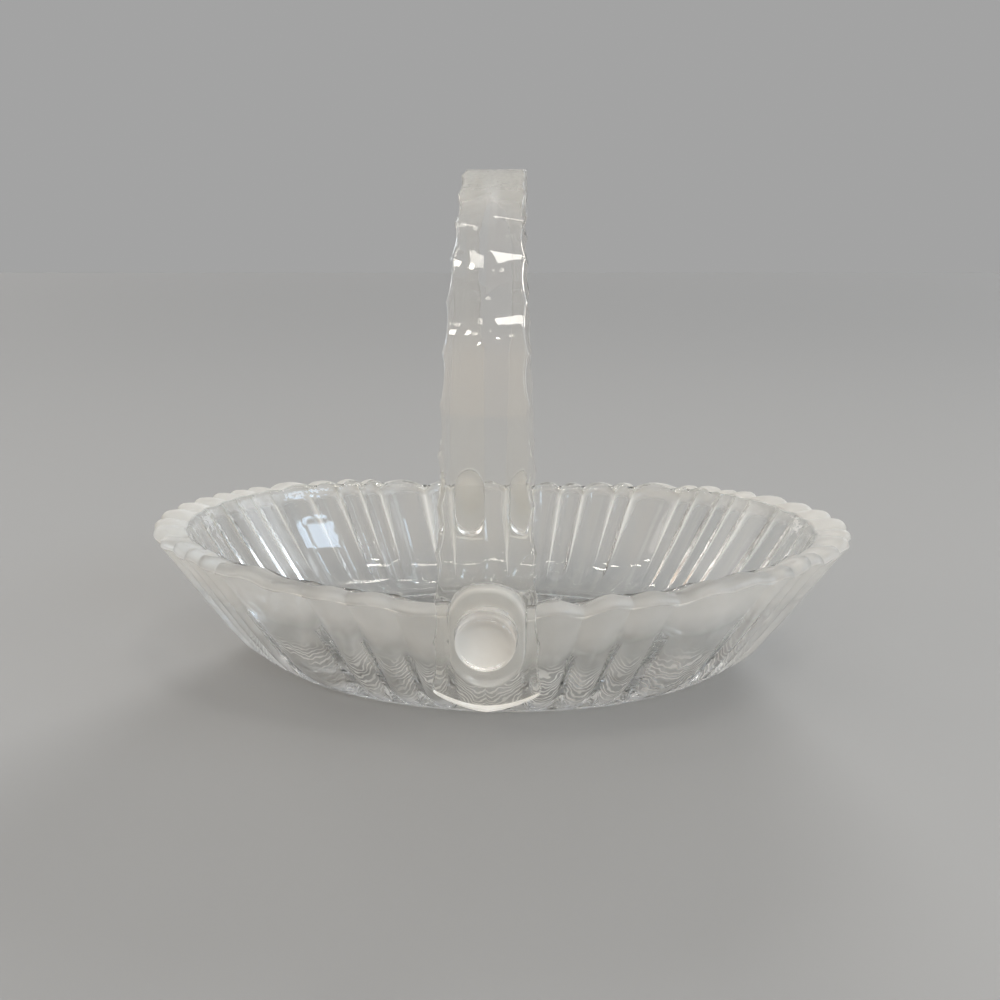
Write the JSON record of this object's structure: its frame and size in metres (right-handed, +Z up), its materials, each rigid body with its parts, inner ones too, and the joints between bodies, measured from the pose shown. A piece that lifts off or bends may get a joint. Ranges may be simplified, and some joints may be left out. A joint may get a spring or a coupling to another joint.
{
  "type": "glass basket",
  "caption": "Oval fluted pressed-glass serving basket with satin rim and a clear acrylic strap handle that swings on two round pegs.",
  "frame": {"origin": "on the table under the middle of the oval bowl", "axes": "+X to one tip of the oval, +Y to the rear long side, +Z up; the handle arches over the bowl along Y"},
  "size_m": [0.3, 0.1862, 0.2027],
  "materials": {
    "satin_glass": "pressed glass, satin on the rim and upper wall outside, clear below and inside",
    "clear_acrylic": "clear moulded acrylic, glossy",
    "clear_glass": "clear, fire polished"
  },
  "bodies": {
    "bowl": {"glass_bowl": "satin_glass", "front_peg": "clear_glass", "rear_peg": "clear_glass"},
    "handle": {"carry_handle": "clear_acrylic"}
  },
  "joints": [
    {"name": "handle_swing", "type": "hinge", "parent": "bowl", "child": "handle", "pos_m": [0, 0, 0.0487], "axis": [0, 1, 0], "range_deg": [-79, 79]}
  ]
}
